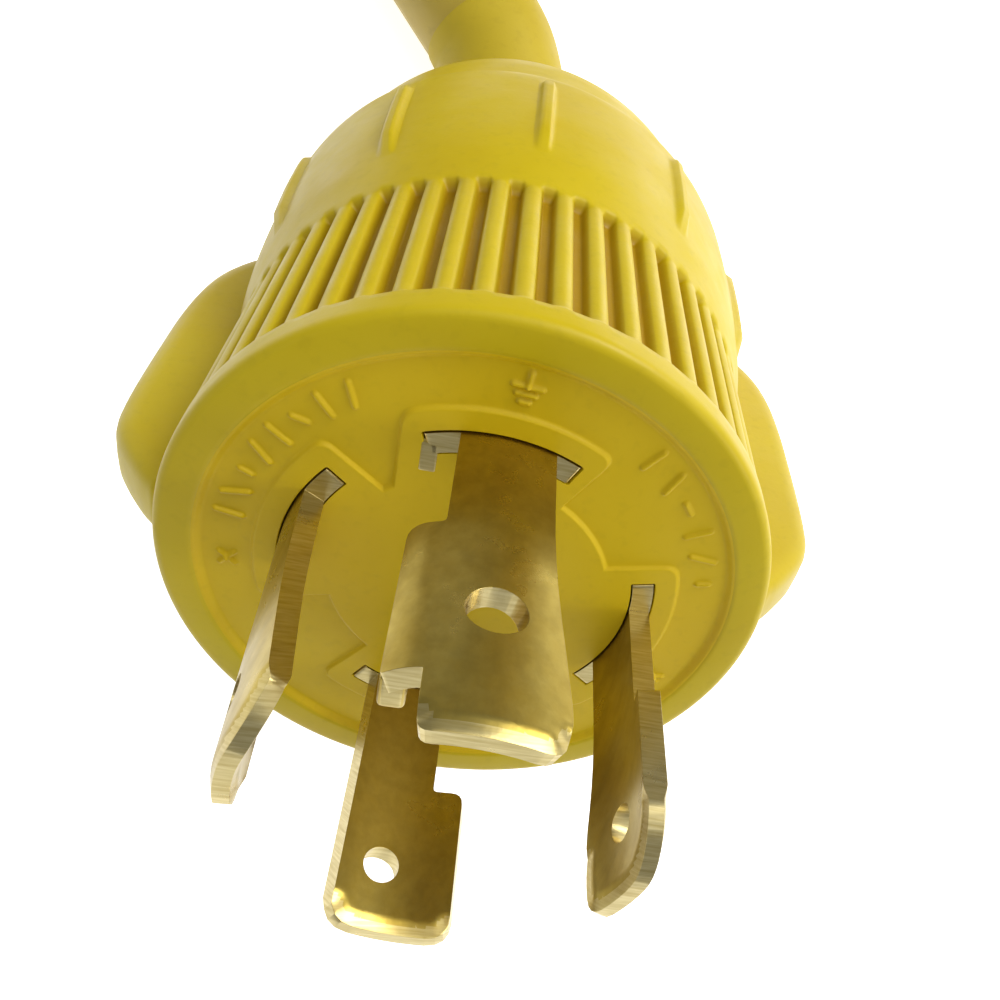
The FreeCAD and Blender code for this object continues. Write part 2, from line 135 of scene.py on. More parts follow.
def bump(tree, shader, height, strength, distance, after=None):
    b = node(tree, "ShaderNodeBump", Strength=strength, Distance=distance)
    tree.links.new(height, b.inputs["Height"])
    if after is not None:
        tree.links.new(after, b.inputs["Normal"])
    tree.links.new(b.outputs[0], shader.inputs["Normal"])
    return b.outputs[0]


def attribute(tree, name):
    a = node(tree, "ShaderNodeAttribute", attribute_name=name)
    return a.outputs["Fac"]


# ---------------------------------------------------------------- materials
def pvc(name, light, dark, deep, rough=0.42, grain=1.0, skin=0.06):
    """Moulded soft PVC: slow colour drift, fine grain, and painted shade: a darker, more saturated
    deep colour in the grooves and slots.
    """
    m, t, s = material(name)
    drift = noise(t, 45, 4)
    colour = ramp(t, drift, [(0.30, dark), (0.70, light)])
    specks = ramp(t, noise(t, 900, 2), [(0.28, grey(0.90)), (0.45, grey(1.0))])
    colour = mix(t, 0.5, colour, specks, "MULTIPLY")
    # painted shade: the mask blends grooves and slots towards the darker deep colour
    colour = mix(t, attribute(t, "painted_shade"), colour, deep)
    t.links.new(colour, s.inputs["Base Color"])
    t.links.new(ramp(t, noise(t, 220, 3), [(0.3, grey(rough - 0.05)), (0.7, grey(rough + 0.07))]),
                s.inputs["Roughness"])
    s.inputs["Subsurface Weight"].default_value = skin
    s.inputs["Subsurface Radius"].default_value = (0.0016, 0.0011, 0.0004)
    s.inputs["Specular IOR Level"].default_value = 0.25
    fine = bump(t, s, noise(t, 2600, 2), 0.10 * grain, 0.0001)
    bump(t, s, noise(t, 160, 3), 0.22 * grain, 0.0003, fine)
    return m


# the third colour of each is the painted shade laid into grooves and slots
YELLOW = pvc("moulded_yellow", (0.585, 0.450, 0.006), (0.530, 0.385, 0.004),
             (0.340, 0.185, 0.001))
FACE = pvc("face_yellow", (0.670, 0.475, 0.004), (0.610, 0.420, 0.003),
           (0.220, 0.110, 0.001), 0.48)
NECK = pvc("relief_yellow", (0.540, 0.410, 0.022), (0.460, 0.340, 0.016),
           (0.260, 0.160, 0.004), 0.50)


def jacket(name):
    """Cord jacket: smooth, with the slow twist of the conductors just showing."""
    m, t, s = material(name)
    colour = ramp(t, noise(t, 30, 4), [(0.3, (0.44, 0.31, 0.030)), (0.7, (0.52, 0.39, 0.042))])
    dirt = ramp(t, noise(t, 260, 5, rough=0.65), [(0.30, grey(0.72)), (0.42, grey(1.0))])
    colour = mix(t, 0.55, colour, dirt, "MULTIPLY")
    t.links.new(colour, s.inputs["Base Color"])
    t.links.new(ramp(t, noise(t, 120, 3), [(0.3, grey(0.40)), (0.7, grey(0.56))]),
                s.inputs["Roughness"])
    s.inputs["Subsurface Weight"].default_value = 0.04
    s.inputs["Subsurface Radius"].default_value = (0.0016, 0.0011, 0.0004)
    first = bump(t, s, noise(t, 60, 2), 0.35, 0.0008)
    bump(t, s, noise(t, 1800, 2), 0.12, 0.0001, first)
    return m


JACKET = jacket("cord_yellow")


def brass(name, light, dark, rough, streak=1.0):
    """Rolled and stamped brass: streaks along the strip, blotchy tarnish, bright cut edges."""
    m, t, s = material(name)
    tilt = ((radians(45), 0, 0), (900, 40, 900))
    lines = noise(t, 1.0, 4, tilt, 0.6)
    blotch = noise(t, 170, 5, rough=0.62)
    colour = ramp(t, blotch, [(0.30, dark), (0.66, light)])
    colour = mix(t, 0.30 * streak, colour,
                 ramp(t, lines, [(0.35, grey(0.55)), (0.60, grey(1.0))]), "MULTIPLY")
    edge = attribute(t, "cut")
    bars = ramp(t, noise(t, 1.0, 3, ((radians(45), 0, 0), (250, 5200, 250)), 0.6),
                [(0.30, (0.47, 0.37, 0.14)), (0.68, (0.66, 0.56, 0.28))])
    colour = mix(t, edge, colour, bars)
    t.links.new(colour, s.inputs["Base Color"])
    s.inputs["Metallic"].default_value = 1.0
    t.links.new(ramp(t, blotch, [(0.3, grey(rough + 0.12)), (0.7, grey(rough))]),
                s.inputs["Roughness"])
    first = bump(t, s, lines, 0.20 * streak, 0.00006)
    bump(t, s, noise(t, 700, 3), 0.14, 0.0001, first)
    return m


BRASS = brass("blade_brass", (0.46, 0.350, 0.085), (0.34, 0.240, 0.040), 0.25)


def plain(name, light, dark, rough, scale=300, metal=0.0, depth=0.0002, grain=0.3):
    m, t, s = material(name)
    t.links.new(ramp(t, noise(t, scale * 0.25, 4), [(0.3, dark), (0.7, light)]),
                s.inputs["Base Color"])
    t.links.new(ramp(t, noise(t, scale, 3), [(0.3, grey(rough - 0.06)), (0.7, grey(rough + 0.08))]),
                s.inputs["Roughness"])
    s.inputs["Metallic"].default_value = metal
    bump(t, s, noise(t, scale * 4, 3), grain, depth)
    return m


def strands(name):
    m, t, s = material(name)
    twist = noise(t, 1.0, 2, ((radians(45), radians(20), 0), (2600, 160, 2600)))
    t.links.new(ramp(t, twist, [(0.35, (0.30, 0.12, 0.06)), (0.65, (0.80, 0.42, 0.25))]),
                s.inputs["Base Color"])
    s.inputs["Metallic"].default_value = 1.0
    s.inputs["Roughness"].default_value = 0.30
    bump(t, s, twist, 0.8, 0.0003)
    return m


def webbing(name):
    """Woven hook-and-loop strap."""
    m, t, s = material(name)
    at = node(t, "ShaderNodeTexCoord")
    weave = node(t, "ShaderNodeTexWave", Scale=420.0, Distortion=1.2, Detail=2.0)
    t.links.new(at.outputs["Object"], weave.inputs["Vector"])
    cross = node(t, "ShaderNodeTexWave", bands_direction="Z", Scale=420.0, Distortion=1.2)
    t.links.new(at.outputs["Object"], cross.inputs["Vector"])
    threads = mix(t, 0.5, weave.outputs["Color"], cross.outputs["Color"], "MULTIPLY")
    t.links.new(mix(t, threads, (0.012, 0.012, 0.013), (0.055, 0.055, 0.060)),
                s.inputs["Base Color"])
    s.inputs["Roughness"].default_value = 0.85
    s.inputs["Sheen Weight"].default_value = 0.3
    fuzz = bump(t, s, noise(t, 3000, 2), 0.4, 0.0002)
    bump(t, s, threads, 0.7, 0.0004, fuzz)
    return m


STRAP = webbing("strap_black")
INNER = plain("inner_plastic", (0.055, 0.055, 0.052), (0.035, 0.035, 0.034), 0.55)
COPPER = strands("copper_strands")
PLASTIC = {
    "green": plain("wire_green", (0.03, 0.26, 0.07), (0.02, 0.20, 0.05), 0.40),
    "black": plain("wire_black", (0.022, 0.022, 0.022), (0.013, 0.013, 0.013), 0.40),
    "red": plain("wire_red", (0.48, 0.03, 0.02), (0.38, 0.02, 0.015), 0.40),
    "white": plain("wire_white", (0.80, 0.79, 0.75), (0.70, 0.69, 0.65), 0.40)}
FIBRE = plain("filler_fibre", (0.62, 0.55, 0.38), (0.42, 0.36, 0.24), 0.9, 900, 0, 0.0005, 0.8)


# ---------------------------------------------------------------- mesh helpers
def build(name, verts, faces, place, mat, sharp=38, marks=None):
    """Mesh from millimetre points; marks are per-point values the material reads."""
    mesh = bpy.data.meshes.new(name)
    mesh.from_pydata([tuple(v) for v in verts], [], faces)
    mesh.transform(place)
    for key, values in (marks or {}).items():
        kind = "POINT" if len(values) == len(mesh.vertices) else "FACE"
        layer = mesh.attributes.new(key, "FLOAT", kind)
        layer.data.foreach_set("value", values)
    bm = bmesh.new()
    bm.from_mesh(mesh)
    bmesh.ops.recalc_face_normals(bm, faces=bm.faces)
    limit = radians(sharp)
    for e in bm.edges:
        if len(e.link_faces) == 2 and e.calc_face_angle() > limit:
            e.smooth = False
    for f in bm.faces:
        f.smooth = True
    bm.to_mesh(mesh)
    bm.free()
    mesh.update()
    o = bpy.data.objects.new(name, mesh)
    bpy.context.scene.collection.objects.link(o)
    mesh.materials.append(mat)
    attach(o, "root")
    return o


def loft(rows, closed=True, cap_start=False, cap_end=False):
    """Points and faces of a grid; every row has the same count, and wraps when closed."""
    verts = [p for row in rows for p in row]
    n = len(rows[0])
    faces = []
    for j in range(len(rows) - 1):
        for i in range(n if closed else n - 1):
            a = j * n + i
            b = j * n + (i + 1) % n
            faces.append((a, b, b + n, a + n))
    if cap_start:
        faces.append(tuple(range(n))[::-1])
    if cap_end:
        faces.append(tuple(range((len(rows) - 1) * n, len(rows) * n)))
    return verts, faces


def soft(x):
    x = max(0.0, min(1.0, x))
    return x * x * (3 - 2 * x)


def curve_through(points, steps, closed=False):
    """Smooth line through points of any length (Catmull-Rom)."""
    pts = [Vector(p) for p in points]
    n = len(pts)
    out = []
    spans = n if closed else n - 1
    for i in range(spans):
        if closed:
            p0, p1, p2, p3 = (pts[(i + k - 1) % n] for k in range(4))
        else:
            p1, p2 = pts[i], pts[i + 1]
            p0 = pts[i - 1] if i else p1 * 2 - p2
            p3 = pts[i + 2] if i + 2 < n else p2 * 2 - p1
        for s in range(steps):
            t = s / steps
            out.append(0.5 * ((2 * p1) + (p2 - p0) * t + (2 * p0 - 5 * p1 + 4 * p2 - p3) * t * t
                              + (3 * p1 - p0 - 3 * p2 + p3) * t ** 3))
    if not closed:
        out.append(pts[-1])
    return out


# ---------------------------------------------------------------- the cord
COIL_X = -0.01865
COIL_Y = 0.25086
TURN_R = 0.126             # centreline of the outermost ring
CORD_D = 0.018
LEVELS = (0.00935, 0.0290, 0.04865)
TURN_ANGLE = 222.84        # where the straight run meets the coil
LAST_R = 0.108             # radius of the last turn, which the climb leaves
LEAD = 0.030               # length of coil over which the climb begins
CLIMB_LENGTH = 0.1784
CLIMB_R = 0.0853           # radius of the climbing arc
CLIMB_SHIFT = 0.023        # its centre's distance from the coil's centre
CLIMB_FROM = 100
EXIT = (-0.00905, 0.0552, 0.00935)
# (ring counted inwards, layer counted upwards) in the order the turns are wound
CELLS = [(0, 0), (1, 0), (2, 0), (3, 0), (3, 1), (3, 2), (2, 2), (2, 1), (1, 1), (0, 1), (0, 2),
         (1, 2)]
STEPS = 182
STEP = radians(4082.84 / STEPS)
RISE = 0.0378


def climb(share):
    return LEVELS[2] + RISE * share * share * (3 - 2 * share)


route = [EXIT, (-0.0260, 0.07353, 0.00935), (-0.0600, 0.1102, 0.00935),
         (-0.0940, 0.1468, 0.00935)]
for i in range(STEPS + 1):
    place = 0.0
    for k in range(11):
        place += max(0.0, min(1.0, (i - 13 - 15 * k) / 2.0))
    a, b = CELLS[int(place)], CELLS[min(11, int(place) + 1)]
    part = place - int(place)
    ring = a[0] + (b[0] - a[0]) * part
    level = LEVELS[a[1]] + (LEVELS[b[1]] - LEVELS[a[1]]) * part
    left = (STEPS - i) * STEP * LAST_R
    if left < LEAD:
        level = climb((LEAD - left) / CLIMB_LENGTH)
    radius = (TURN_R - CORD_D * ring) * (1.008 if 0 < i < STEPS else 1.0)
    angle = radians(TURN_ANGLE) - STEP * i
    route.append((COIL_X + radius * cos(angle), COIL_Y + radius * sin(angle), level))
for k in range(1, 11):
    angle = radians(CLIMB_FROM - 10 * k)
    route.append((COIL_X + CLIMB_SHIFT * cos(radians(CLIMB_FROM)) + CLIMB_R * cos(angle),
                  COIL_Y + CLIMB_SHIFT * sin(radians(CLIMB_FROM)) + CLIMB_R * sin(angle),
                  climb((LEAD + 0.01484 * k) / CLIMB_LENGTH)))
route.append((CONNECTOR_AT[0], 0.262, CONNECTOR_AT[2]))

line = bpy.data.curves.new("power_cord", "CURVE")
line.dimensions = "3D"
spline = line.splines.new("NURBS")
spline.points.add(len(route) - 1)
for point, at in zip(spline.points, route):
    point.co = (*at, 1)
spline.order_u = 3
spline.use_endpoint_u = True
line.resolution_u = 8
line.bevel_depth = 0.009
line.bevel_resolution = 7
line.use_fill_caps = True
cord = bpy.data.objects.new("power_cord", line)
bpy.context.scene.collection.objects.link(cord)
line.materials.append(JACKET)
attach(cord, "root")
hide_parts("cord_jacket", "cord_coil")


# ---------------------------------------------------------------- strap round the coil
def strap():
    """Closed band round the bundle of turns, dipping slightly between them."""
    rows = []
    r = 9.35
    inner = 63.0 - 0.4
    outer = 126.0 + r + 0.4
    top = 58.0 + 0.3
    path = []
    corners = [(outer - r, r, -90, 0), (outer - r, top - r, 0, 90), (inner + r, top - r, 90, 180),
               (inner + r, r, 180, 270)]
    for cx, cz, a0, a1 in corners:
        for k in range(9):
            a = radians(a0 + (a1 - a0) * k / 8)
            path.append((cx + r * cos(a), cz + r * sin(a), cos(a), sin(a)))
    n = len(path)
    dense = []
    for i in range(n):
        p, q = path[i], path[(i + 1) % n]
        steps = max(1, int(hypot(q[0] - p[0], q[1] - p[1]) / 2.0))
        for s in range(steps):
            f = s / steps
            x = p[0] + (q[0] - p[0]) * f
            z = p[1] + (q[1] - p[1]) * f
            nx = p[2] + (q[2] - p[2]) * f
            nz = p[3] + (q[3] - p[3]) * f
            dip = 0.0
            if nz > 0.9 or nz < -0.9:
                dip = 0.35 * (1 - cos(2 * pi * (x - 126.0) / 18.0)) / 2
            dense.append((x, z - nz * dip, nx, nz))
    across = [(-9.0, 0.0), (-9.2, 0.5), (-9.0, 1.05), (-8.2, 1.2), (-4, 1.22), (0, 1.25),
              (4, 1.22), (8.2, 1.2), (9.0, 1.05), (9.2, 0.5), (9.0, 0.0)]
    for x, z, nx, nz in dense:
        row = []
        for w, h in across:
            if z < 1.0:
                h = min(h, 0.3) * 0.5
            row.append(Vector((x + nx * h, w, z + nz * h)))
        rows.append(row)
    rows.append([v.copy() for v in rows[0]])
    verts, faces = loft(rows, closed=False)
    turn = (Matrix.Translation((COIL_X, COIL_Y, 0)) @ Matrix.Rotation(radians(149.5), 4, "Z") @ MM)
    return build("coil_strap", verts, faces, turn, STRAP, 50)


tie = strap()
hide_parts("coil_tie")


# ---------------------------------------------------------------- shell of the plug
RIBS = 56
PITCH = 360.0 / RIBS
OFFSETS = [0.0, 0.10, 0.18, 0.24, 0.27, 0.305, 0.34, 0.37, 0.42, 0.5, 0.58, 0.63, 0.66, 0.695,
           0.73, 0.76, 0.82, 0.90]


def rib_depth(fraction):
    """0 on the crest of a grip rib, 1 in the groove."""
    d = abs((fraction + 0.5) % 1.0 - 0.5)
    return soft((d - 0.24) / 0.13)


FRONT = [(1.2, 23.9, 0), (0.45, 23.95, 0), (0.16, 24.08, 0), (0.03, 24.3, 0), (0, 24.6, 0),
         (0, 25.6, 0), (0, 26.6, 0), (0.05, 26.9, 0), (0.20, 27.18, 0), (0.45, 27.38, 0),
         (0.8, 27.48, 0), (1.2, 27.5, 0), (2.4, 27.5, 0), (3.1, 27.5, 0), (3.25, 27.48, 0.12),
         (3.4, 27.45, 0.5), (3.55, 27.42, 0.88), (3.8, 27.40, 1)]
BAND = [(y, 27.40 - 0.004 * (y - 4), 1) for y in range(5, 26, 2)]
BEHIND = [(25.5, 27.3, 1), (25.8, 27.3, 0.88), (26.0, 27.3, 0.5), (26.2, 27.32, 0.12),
          (26.4, 27.36, 0), (27.2, 27.5, 0), (28.5, 27.72, 0), (30.0, 27.98, 0), (31.4, 28.2, 0),
          (32.0, 28.28, 0), (32.5, 28.33, 0), (33.2, 28.42, 0), (36, 28.66, 0), (39, 28.84, 0),
          (42, 28.98, 0), (45, 29.06, 0), (48, 29.1, 0), (49.6, 29.1, 0), (50.3, 29.1, 0),
          (51.0, 29.1, 0), (52.4, 29.1, 0), (53.4, 29.04, 0), (54.1, 28.85, 0), (54.6, 28.5, 0),
          (54.9, 28.05, 0), (55.05, 27.55, 0), (55.3, 27.2, 0), (55.8, 27.0, 0), (57.5, 26.95, 0),
          (61, 26.9, 0), (65, 26.85, 0), (67.6, 26.7, 0), (68.8, 26.4, 0), (69.6, 25.8, 0),
          (69.95, 25.0, 0), (70, 24.0, 0), (70, 19, 0), (70, 12, 0)]
RAISED = (25.0, 56.3, 89.3, 120.3, 149.0, 211.0, 239.7, 270.7, 303.7, 335.0)


def raised(angle, y):
    """Height of the short bars on the shoulder."""
    if y < 31.0 or y > 52.0:
        return 0.0
    along = soft((y - 32.8) / 1.2) * soft((50.9 - y) / 1.2)
    best = 0.0
    for a in RAISED:
        off = abs((angle - a + 180) % 360 - 180) * pi / 180 * 28.8
        best = max(best, soft((0.95 - off) / 0.5))
    return 0.75 * along * best


def shell():
    rows = []
    painted_shade = []
    for y, r, w in FRONT + BAND + BEHIND:
        row = []
        for k in range(RIBS):
            for f in OFFSETS:
                angle = (k + f) * PITCH
                deep = rib_depth(f) * w
                d = abs((f + 0.5) % 1.0 - 0.5)
                rr = r - 1.25 * deep - 0.28 * w * (d / 0.24) ** 2 * (d < 0.24)
                rr += raised(angle, y) - 0.28 * w * (d >= 0.24) * (1 - deep)
                a = radians(angle)
                row.append(Vector((rr * cos(a), y, rr * sin(a))))
                # painted shade in the rib grooves, strongest at the groove bottom
                painted_shade.append(min(1.0, 0.85 * deep))
        rows.append(row)
    verts, faces = loft(rows)
    return build("plug_body", verts, faces, PLUG, YELLOW, 60, {"painted_shade": painted_shade})


body = shell()
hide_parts("plug_shell")

WING = [(22.0, 3.4), (27.6, 3.6), (29.4, 4.7), (31.4, 7.0), (33.2, 9.6), (34.2, 12.0),
        (34.6, 15.0), (34.8, 20), (34.85, 27), (34.8, 33), (34.4, 38.5), (33.5, 43), (32.0, 46.6),
        (30.0, 49.6), (27.6, 51.8), (22.0, 53.6)]


def wing(side, half, name, place, outline, cut=24.6):
    """Finger wing with rounded edges; its root is buried in the body."""
    line2 = curve_through([(x, y, 0) for x, y in outline], 5)
    n = len(line2)
    layers = []
    bullnose = [(-1.0, 2.3), (-0.985, 1.6), (-0.93, 1.0), (-0.84, 0.55), (-0.70, 0.22),
                (-0.5, 0.05), (0, 0), (0.5, 0.05), (0.70, 0.22), (0.84, 0.55), (0.93, 1.0),
                (0.985, 1.6), (1.0, 2.3)]
    normals = []
    for i in range(n):
        t = (line2[min(n - 1, i + 1)] - line2[max(0, i - 1)]).normalized()
        normals.append(Vector((-t.y, t.x, 0)))
    for z, inset in bullnose:
        row = []
        for p, m in zip(line2, normals):
            q = p + m * inset
            row.append(Vector((side * max(cut - 3, q.x), q.y, z * half)))
        layers.append(row)
    verts, faces = loft(layers, closed=False)
    # close both broad faces with strips back to the root
    base = len(verts)
    for layer, sign in ((0, -1), (len(layers) - 1, 1)):
        start = layer * n
        for i in range(n):
            v = verts[start + i]
            verts.append(Vector((side * (cut - 3), v.y, v.z)))
        first = base if sign < 0 else base + n
        for i in range(n - 1):
            faces.append((start + i, start + i + 1, first + i + 1, first + i))
    return build(name, verts, faces, place, YELLOW, 45)


for side, name in ((1, "wing_right"), (-1, "wing_left")):
    w = wing(side, 3.3, name, PLUG, WING)


# ---------------------------------------------------------------- face of the plug
G_SLOT = (65.2, 110.0)
X_SLOT = (140.7, 192.5)
Y_SLOT = (-37.5, 14.3)
W_SLOT = (-123.5, -71.5)
SLOTS = (G_SLOT, X_SLOT, Y_SLOT, W_SLOT)


def polar(r, a):
    return Vector((r * cos(radians(a)), r * sin(radians(a))))


def side_of(p, a, b):
    """Signed distance of p from the line a-b, positive on the left."""
    d = (b - a).normalized()
    return d.x * (p.y - a.y) - d.y * (p.x - a.x)


PADS = []
for sides in (((13.2, 59.8), (19.0, 59.8), (17.6, 115.7), (13.2, 125.6)),
              ((13.5, 132.2), (18.7, 135.2), (19.0, 195.6), (13.2, 196.4)),
              ((13.2, -49.0), (19.0, -48.4), (18.4, 20.5), (12.9, 23.3)),
              ((13.2, -131.5), (19.0, -130.6), (19.0, -63.0), (13.2, -62.4))):
    PADS.append([polar(*s) for s in sides])


def ease_min(a, b, k=1.0):
    h = max(0.0, min(1.0, 0.5 + 0.5 * (b - a) / k))
    return b * (1 - h) + a * h - k * h * (1 - h)


def pad_inside(p):
    """Positive inside a pad, in millimetres from its edge."""
    r = p.length
    best = 12.75 - r
    for s0, s1, s2, s3 in PADS:
        d = ease_min(19.1 - r, side_of(p, s0, s1), 1.2)
        d = ease_min(d, -side_of(p, s3, s2), 1.2)
        if p.dot(s0 + s1 + s2 + s3) < 0:
            continue
        best = max(best, min(d, r - 11.5) if r < 12.5 else d)
    return best


def slot_gap(p, slots=SLOTS, tail=True):
    """Distance outside the blade roots (negative inside)."""
    r = p.length
    a = degrees(atan2(p.y, p.x))
    best = 9.0
    for a0, a1 in slots:
        mid = (a0 + a1) / 2
        off = abs((a - mid + 180) % 360 - 180) - (a1 - a0) / 2
        du = radians(off) * 16
        dv = abs(r - 15.95) - 0.95
        d = max(du, dv) if du < 0 or dv < 0 else hypot(du, dv)
        best = min(best, d)
    if tail:
        du = abs(p.x + 5.15) - 0.9
        dv = max(12.1 - p.y, p.y - 15.2)
        best = min(best, max(du, dv) if du < 0 or dv < 0 else hypot(du, dv))
    return best


def bar(p, angle, r, length, width, turn=0.0):
    """Soft raised stroke centred at (r, angle)."""
    c = polar(r, angle)
    d = p - c
    a = radians(angle + turn)
    u = d.x * cos(a) + d.y * sin(a)
    v = -d.x * sin(a) + d.y * cos(a)
    far = hypot(max(0.0, abs(u) - length / 2), v)
    return soft((width / 2 + 0.12 - far) / 0.24)


MARKS = []
for i, (turn, size) in enumerate(((0, 2.2), (25, 2.2), (0, 1.0), (-20, 2.2), (0, 2.2), (30, 1.3),
                                  (0, 2.2), (-15, 2.2))):
    MARKS.append((169.0 - 6.6 * i, 21.4, size, 0.42, turn))
for i, (turn, size) in enumerate(((0, 2.2), (20, 2.2), (90, 1.2), (0, 2.2), (-25, 2.2),
                                  (0, 1.0))):
    MARKS.append((53.5 - 8.0 * i, 21.4, size, 0.42, turn))
EARTH = [(86.0, 22.35, 1.1, 0.4, 0), (86.0, 21.7, 2.3, 0.4, 90), (86.0, 21.0, 1.5, 0.4, 90),
         (86.0, 20.3, 0.7, 0.4, 90)]
MARKS += EARTH
MARKS += [(183.0, 21.3, 1.8, 0.36, 45), (183.0, 21.3, 1.8, 0.36, -45), (-22.0, 21.3, 1.8, 0.36, 30),
          (-22.0, 21.3, 1.8, 0.36, -30)]


def face_height(p):
    """How far the face stands behind the rim, and whether the point is in a gap."""
    r = p.length
    h = 0.68 - 0.38 * soft((pad_inside(p) + 0.14) / 0.28)
    h -= 0.57 * soft((r - 23.4) / 0.7)
    if 19.4 < r < 23.3:
        for mark in MARKS:
            c = polar(mark[1], mark[0])
            if (p - c).length < 1.9:
                h -= 0.30 * bar(p, *mark)
    gap = 0.0
    d = slot_gap(p, tail=False)
    if d < 0.5:
        gap = soft((0.15 - d) / 0.07)
    return h + 1.2 * gap, gap


def face():
    radii = [0.0, 1.5, 3, 4.5, 6, 7.5, 9, 10.2, 11.2, 11.8, 12.2]
    r = 12.2
    while r < 24.3:
        near = min(abs(r - 14.9), abs(r - 17.0))
        r += 0.045 if near < 0.3 else 0.13
        radii.append(min(r, 24.3))
    n = 1440
    rows = []
    painted_shade = []
    for r in radii:
        row = []
        for i in range(n):
            a = 2 * pi * i / n
            p = Vector((r * cos(a), r * sin(a)))
            h, gap = face_height(p)
            row.append(Vector((p.x, h, p.y)))
            # painted shade inside the blade slots
            painted_shade.append(min(1.0, gap))
        rows.append(row)
    rows.append([Vector((24.0 * cos(2 * pi * i / n), 2.0, 24.0 * sin(2 * pi * i / n)))
                 for i in range(n)])
    painted_shade += [0.0] * n
    rows.append([Vector((24.0 * cos(2 * pi * i / n), 13.8, 24.0 * sin(2 * pi * i / n)))
                 for i in range(n)])
    painted_shade += [0.0] * n
    verts, faces = loft(rows)
    return build("plug_face", verts, faces, PLUG, FACE, 62, {"painted_shade": painted_shade})


plug_face = face()
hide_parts("face_insulator")

# ---------------------------------------------------------------- blades
MID_R = 15.95
THICK = 1.9


def rounded(corners, size, steps=4):
    """Outline with its corners rounded; corners are (angle, y, radius or None)."""
    pts = [Vector((radians(c[0]) * MID_R, c[1])) for c in corners]
    out = []
    n = len(pts)
    for i in range(n):
        p, a, b = pts[i], pts[i - 1], pts[(i + 1) % n]
        r = corners[i][2] if len(corners[i]) > 2 else size
        u, v = (a - p), (b - p)
        cut = min(r, u.length * 0.45, v.length * 0.45)
        if cut < 0.02:
            out.append(p)
            continue
        s, e = p + u.normalized() * cut, p + v.normalized() * cut
        for k in range(steps + 1):
            t = k / steps
            out.append(s * (1 - t) ** 2 + p * 2 * t * (1 - t) + e * t * t)
    return out


def blade(name, corners, middle, hole, tip, knee=1.5, lean=0.0, extra=None):
    """Flat stamped outline, thickened, bevelled, thinned at the tip, then rolled."""
    bm = bmesh.new()
    outline = rounded(corners, 0.25)
    loops = [outline]
    hx, hy, hd = hole
    c = Vector((radians(hx) * MID_R, hy))
    loops.append([c + Vector((cos(2 * pi * k / 28), sin(2 * pi * k / 28))) * hd / 2
                  for k in range(28)])
    edges = []
    for loop in loops:
        vs = [bm.verts.new((p.x, p.y, 0)) for p in loop]
        for i in range(len(vs)):
            edges.append(bm.edges.new((vs[i], vs[(i + 1) % len(vs)])))
    bmesh.ops.triangle_fill(bm, use_beauty=True, use_dissolve=False, edges=edges)
    mesh = bpy.data.meshes.new(name)
    bm.to_mesh(mesh)
    bm.free()
    o = bpy.data.objects.new(name, mesh)
    bpy.context.scene.collection.objects.link(o)
    thick = o.modifiers.new("thick", "SOLIDIFY")
    thick.thickness = THICK
    thick.offset = 0
    bev = o.modifiers.new("edge", "BEVEL")
    bev.width = 0.14
    bev.segments = 2
    bev.limit_method = "ANGLE"
    bev.angle_limit = radians(50)
    bpy.context.view_layer.update()
    done = bpy.data.meshes.new_from_object(o.evaluated_get(
        bpy.context.evaluated_depsgraph_get()))
    bpy.data.objects.remove(o)
    bm = bmesh.new()
    bm.from_mesh(done)
    m0 = radians(middle) * MID_R
    for k in range(-28, 29):
        geom = bm.verts[:] + bm.edges[:] + bm.faces[:]
        bmesh.ops.bisect_plane(bm, geom=geom, plane_co=(m0 + k * 0.30, 0, 0), plane_no=(1, 0, 0))
    for y in [tip + 0.25 * k for k in range(1, 25)] + [tip + 8, tip + 12, tip + 15, 3.0]:
        geom = bm.verts[:] + bm.edges[:] + bm.faces[:]
        bmesh.ops.bisect_plane(bm, geom=geom, plane_co=(0, y, 0), plane_no=(0, 1, 0))
    bm.to_mesh(done)
    bm.free()
    done.update()
    verts = []
    ends = [(outline[i], outline[(i + 1) % len(outline)]) for i in range(len(outline))]
    ends = [(a, b) for a, b in ends if max(a.y, b.y) < tip + knee]

    def rim(at):
        best = 9.0
        for a, b in ends:
            f = max(0.0, min(1.0, (at - a).dot(b - a) / max(1e-9, (b - a).length_squared)))
            best = min(best, (at - a - (b - a) * f).length)
        return best

    for v in done.vertices:
        s, y, w = v.co
        w *= 1 - 0.36 * max(0.0, 1.2 - rim(Vector((s, y)))) / 1.2
        if lean:
            w -= lean * max(0.0, -y)
        r = MID_R + w
        a = s / MID_R
        if extra and y < -10:
            r -= 0.085 * max(0.0, s - radians(100.3) * MID_R) ** 2
        verts.append(Vector((r * cos(a), y, r * sin(a))))
    faces = [tuple(f.vertices) for f in done.polygons]
    cut = []
    for f in done.polygons:
        at = Vector((f.center.x, f.center.y))
        coined = 0.55 if rim(at) < 0.85 else 0.0
        cut.append(1.0 if abs(f.normal.z) < 0.8 else coined)
    if extra:
        for low, high in extra:
            bm = bmesh.new()
            made = bmesh.ops.create_cube(bm, size=1)["verts"]
            for v in made:
                v.co = Vector([low[k] + (v.co[k] + 0.5) * (high[k] - low[k]) for k in range(3)])
            bmesh.ops.bevel(bm, geom=bm.edges[:], offset=0.4, segments=4, profile=0.5, affect="EDGES")
            bm.verts.index_update()
            base = len(verts)
            verts += [v.co.copy() for v in bm.verts]
            cut += [0.8 if abs(f.normal.y) > 0.95 else 0.1 for f in bm.faces]
            faces += [tuple(base + v.index for v in f.verts) for f in bm.faces]
            bm.free()
    bpy.data.meshes.remove(done)
    o = build(name, verts, faces, PLUG, BRASS, 19, {"cut": cut})
    o.modifiers.new("even", "WEIGHTED_NORMAL").keep_sharp = True
    return o


